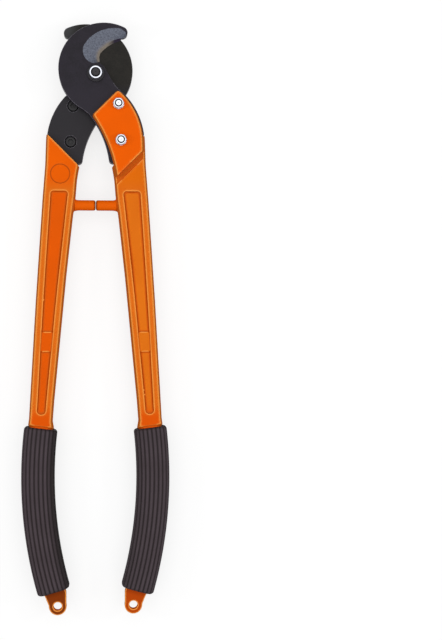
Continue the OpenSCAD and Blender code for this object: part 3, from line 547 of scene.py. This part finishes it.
def makeGrip(name, side, node):  # a ribbed sleeve swept along the grip's curve, with rolled lips
    section = gripSection(grips["ridges"] * grips["perRidge"])
    count = len(section)
    lip = grips["lip"]
    # the painted shade on the side that faces the other grip is deeper on the left grip than the right
    innerShadeShare = grips["rightInnerShadeShare"] if side > 0 else grips["leftInnerShadeShare"]
    length = grips["upLength"] + grips["downLength"]
    # a station is (distance from the sleeve's end, how far the ring is drawn in, share of the ridges)
    mouth = [(along, lip + inset, 0.0) for along, inset in grips["bore"]]
    for i in range(grips["lipSteps"] + 1):
        turn = math.pi / 2 * i / grips["lipSteps"]
        mouth.append((lip * (1 - math.cos(turn)), lip * (1 - math.sin(turn)), math.sin(turn)))
    plain = length - 2 * lip
    middle = [(lip + plain * i / grips["stations"], 0.0, 1.0) for i in range(1, grips["stations"])]
    farMouth = [(length - along, drawn, ridge) for along, drawn, ridge in reversed(mouth)]
    stations = mouth + middle + farMouth
    points, heights, inwardShades, faces = [], [], [], []
    for along, drawn, ridge in stations:
        angle = (grips["upLength"] - along) / grips["curveRadius"]
        for x, z, outX, outZ, wave in section:
            depth = grips["ridgeDepth"] * (1 - wave) * ridge + drawn
            r = grips["curveRadius"] + x - outX * depth
            px = grips["curveX"] + r * math.cos(angle)
            py = grips["curveY"] + r * math.sin(angle)
            pz = z - outZ * depth
            points.append(pivot + Vector((side * px, py, side * pz)) * mm)
            heights.append(wave * ridge)
            inwardShades.append(max(0.0, -outX) * innerShadeShare)
    for k in range(len(stations) - 1):
        for i in range(count):
            j = (i + 1) % count
            faces.append((k * count + i, k * count + j, (k + 1) * count + j, (k + 1) * count + i))
    faces.append(tuple(range(count - 1, -1, -1)))
    faces.append(tuple((len(stations) - 1) * count + i for i in range(count)))
    mesh = bpy.data.meshes.new(name)
    mesh.from_pydata(points, [], faces)
    for attributeName, values in (("ridgeHeight", heights), ("inwardShade", inwardShades)):
        attribute = mesh.attributes.new(attributeName, "FLOAT", "POINT")
        attribute.data.foreach_set("value", values)
    mesh.polygons.foreach_set("use_smooth", [True] * len(mesh.polygons))
    mesh.materials.append(rubber)
    mesh.update()
    piece = bpy.data.objects.new(name, mesh)
    bpy.context.scene.collection.objects.link(piece)
    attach(piece, "right_half" if side > 0 else "left_half")
    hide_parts(node)


def dress(nodeName, material):
    piece = nodes[nodeName]
    for holder in piece.material_slots:
        holder.material = material
    if not piece.material_slots:
        piece.data.materials.append(material)
    return piece


def softenCasting(piece):  # sand-cast edges: everything is rounded by about a millimetre
    weld = piece.modifiers.new("joinFaces", "WELD")
    weld.merge_threshold = castings["weld"]
    remesh = piece.modifiers.new("castSkin", "REMESH")
    remesh.mode = "VOXEL"
    remesh.voxel_size = castings["voxel"]
    remesh.use_smooth_shade = True
    smooth = piece.modifiers.new("castRounding", "SMOOTH")
    smooth.factor = castings["smoothShare"]
    smooth.iterations = castings["smoothing"]


def breakEdges(piece, width, join=hardware["weld"]):  # machined edges with a small even break
    weld = piece.modifiers.new("joinFaces", "WELD")
    weld.merge_threshold = join
    flat = piece.modifiers.new("flatFaces", "DECIMATE")
    flat.decimate_type = "DISSOLVE"
    flat.angle_limit = math.radians(hardware["flatWithin"])
    bevel = piece.modifiers.new("brokenEdge", "BEVEL")
    bevel.width = width
    bevel.segments = hardware["edgeSegments"]
    bevel.limit_method = "ANGLE"
    bevel.angle_limit = math.radians(hardware["edgeAbove"])
    shade = piece.modifiers.new("evenShading", "WEIGHTED_NORMAL")
    shade.keep_sharp = False


# the left and right copies of the coat differ only by painted light and shade
rightOrangePaintedLight = powderCoat(
    "orangeCoatRightPaintedLight", castings["rightFacePaintedLight"], castings["rightShoulderPaintedLight"], castings["rightTongueShade"])
leftOrangePaintedLight = powderCoat(
    "orangeCoatLeftPaintedLight", castings["leftFacePaintedLight"], castings["leftShoulderPaintedLight"], castings["leftTongueShade"])
zinc = zincPlate("clearZincPlate", hardware["chamferPaleShade"])
pivotZinc = zincPlate("clearZincPivot", hardware["chamferShade"])
screwBlack = blackOxideScrew("blackOxideScrew", hardware["screwBlack"], hardware["screwMetal"])
boltBlack = blackOxideScrew("blackOxideBolt", hardware["boltBlack"], hardware["boltMetal"])
washerBlack = blackOxideScrew("blackenedWasher", hardware["washerBlack"], hardware["boltMetal"])
rubber = mouldedRubber()
print("materials made")

softenCasting(dress("right_handle", rightOrangePaintedLight))
softenCasting(dress("left_handle", leftOrangePaintedLight))
frontSteel = blackOxideBlade(
    "blackOxideFront", 1, blades["black"], blades["blackDeep"], blades["black"], blades["black"])
rearSteel = blackOxideBlade(
    "blackOxideRear", -1, blades["rearBlack"], blades["rearDeep"], blades["rearNose"],
    blades["rearTang"])
breakEdges(dress("front_blade", frontSteel), blades["edgeWidth"], blades["weld"])
breakEdges(dress("rear_blade", rearSteel), blades["edgeWidth"], blades["weld"])
for side in ("right", "left"):
    for level in ("upper", "lower"):
        breakEdges(dress(f"{side}_{level}_nut", zinc), hardware["nutEdge"])
        breakEdges(dress(f"{side}_{level}_washer", zinc), hardware["nutEdge"])
        breakEdges(dress(f"{side}_{level}_screw", screwBlack), hardware["screwEdge"])
breakEdges(dress("pivot_nut", pivotZinc), hardware["pivotEdge"])
breakEdges(dress("pivot_washer", washerBlack), hardware["pivotEdge"])
breakEdges(dress("pivot_bolt", boltBlack), hardware["pivotEdge"])
print("castings, blades and fasteners dressed")

makeGrip("right_sleeve", 1, "right_grip")
makeGrip("left_sleeve", -1, "left_grip")
print("grips made")


# Floor, light and camera, in metres: a pale board under a large soft lamp, with a small lamp at
# each side
studio = {
    "floorReach": 6.0, "floorDrop": 0.1 * mm, "floorColour": "#969696", "floorGlow": 0.75,
    "ambient": 0.30, "keySize": 2.4, "keyPower": 18.5, "keyHeight": 1.6,
    "sideSize": 0.3, "sidePower": 1.6, "sideReach": 0.95, "sideForward": 0.1, "sideHeight": 0.85,
    "cameraHeight": 1.30, "cameraLean": 0.09839, "cameraY": -0.2496,
    "sensor": 36.0, "lens": 71.415, "clipNear": 0.05, "clipFar": 50.0,
}


def whiteRays(tree):  # 1 where a ray goes to the eye, straight or by a reflection or through glass
    light = addNode(tree, "ShaderNodeLightPath")
    seen = addNode(tree, "ShaderNodeMath", {
        0: light.outputs["Is Camera Ray"], 1: light.outputs["Is Glossy Ray"]}, operation="MAXIMUM")
    white = addNode(tree, "ShaderNodeMath", {
        0: seen.outputs[0], 1: light.outputs["Is Transmission Ray"]}, operation="MAXIMUM")
    return white.outputs[0]


def makeFloor():
    mesh = bpy.data.meshes.new("floor")
    reach = studio["floorReach"]
    corners = [(-reach, -reach, 0), (reach, -reach, 0), (reach, reach, 0), (-reach, reach, 0)]
    mesh.from_pydata(corners, [], [(0, 1, 2, 3)])
    floor = bpy.data.objects.new("floor", mesh)
    bpy.context.scene.collection.objects.link(floor)
    floor.location.z = cadLow.z - studio["floorDrop"]
    material, tree = newMaterial("paintedBoard")
    board = addNode(tree, "ShaderNodeBsdfDiffuse", {"Color": linear(studio["floorColour"])})
    glowLevel = addNode(tree, "ShaderNodeMath", {
        0: whiteRays(tree), 1: studio["floorGlow"]}, operation="MULTIPLY")
    glow = addNode(tree, "ShaderNodeEmission", {"Strength": glowLevel.outputs[0]})
    both = addNode(tree, "ShaderNodeAddShader", {0: board.outputs[0], 1: glow.outputs[0]})
    addNode(tree, "ShaderNodeOutputMaterial", {"Surface": both.outputs[0]})
    mesh.materials.append(material)


def makeWorld():
    world = bpy.data.worlds.new("studioWorld")
    bpy.context.scene.world = world
    world.use_nodes = True
    tree = world.node_tree
    tree.nodes.clear()
    strength = addNode(tree, "ShaderNodeMapRange", {
        "Value": whiteRays(tree), "To Min": studio["ambient"], "To Max": 1.0})
    sky = addNode(tree, "ShaderNodeBackground", {
        "Color": (1, 1, 1, 1), "Strength": strength.outputs[0]})
    addNode(tree, "ShaderNodeOutputWorld", {"Surface": sky.outputs[0]})


def addLamp(name, place, aim, size, power):
    lamp = bpy.data.lights.new(name, "AREA")
    lamp.shape = "DISK"
    lamp.size = size
    lamp.energy = power
    holder = bpy.data.objects.new(name, lamp)
    bpy.context.scene.collection.objects.link(holder)
    holder.location = place
    holder.rotation_mode = "QUATERNION"
    holder.rotation_quaternion = (Vector(place) - Vector(aim)).to_track_quat("Z", "Y")


def makeCamera():
    data = bpy.data.cameras.new("camera")
    camera = bpy.data.objects.new("camera", data)
    bpy.context.scene.collection.objects.link(camera)
    bpy.context.scene.camera = camera
    data.sensor_width = studio["sensor"]
    data.lens = studio["lens"]
    camera.location = pivot + Vector((0, studio["cameraY"], studio["cameraHeight"]))
    camera.rotation_euler = (0, -studio["cameraLean"], 0)
    data.clip_start = studio["clipNear"]
    data.clip_end = studio["clipFar"]


makeFloor()
makeWorld()
middle = (cadLow + cadHigh) / 2
above = middle + Vector((0, 0, studio["keyHeight"]))
addLamp("keyLamp", above, middle, studio["keySize"], studio["keyPower"])
for side in (-1, 1):
    beside = middle + Vector((side * studio["sideReach"], studio["sideForward"], studio["sideHeight"]))
    addLamp("sideLamp", beside, middle, studio["sideSize"], studio["sidePower"])
makeCamera()
bpy.context.scene.view_settings.view_transform = "Standard"
print("studio made")
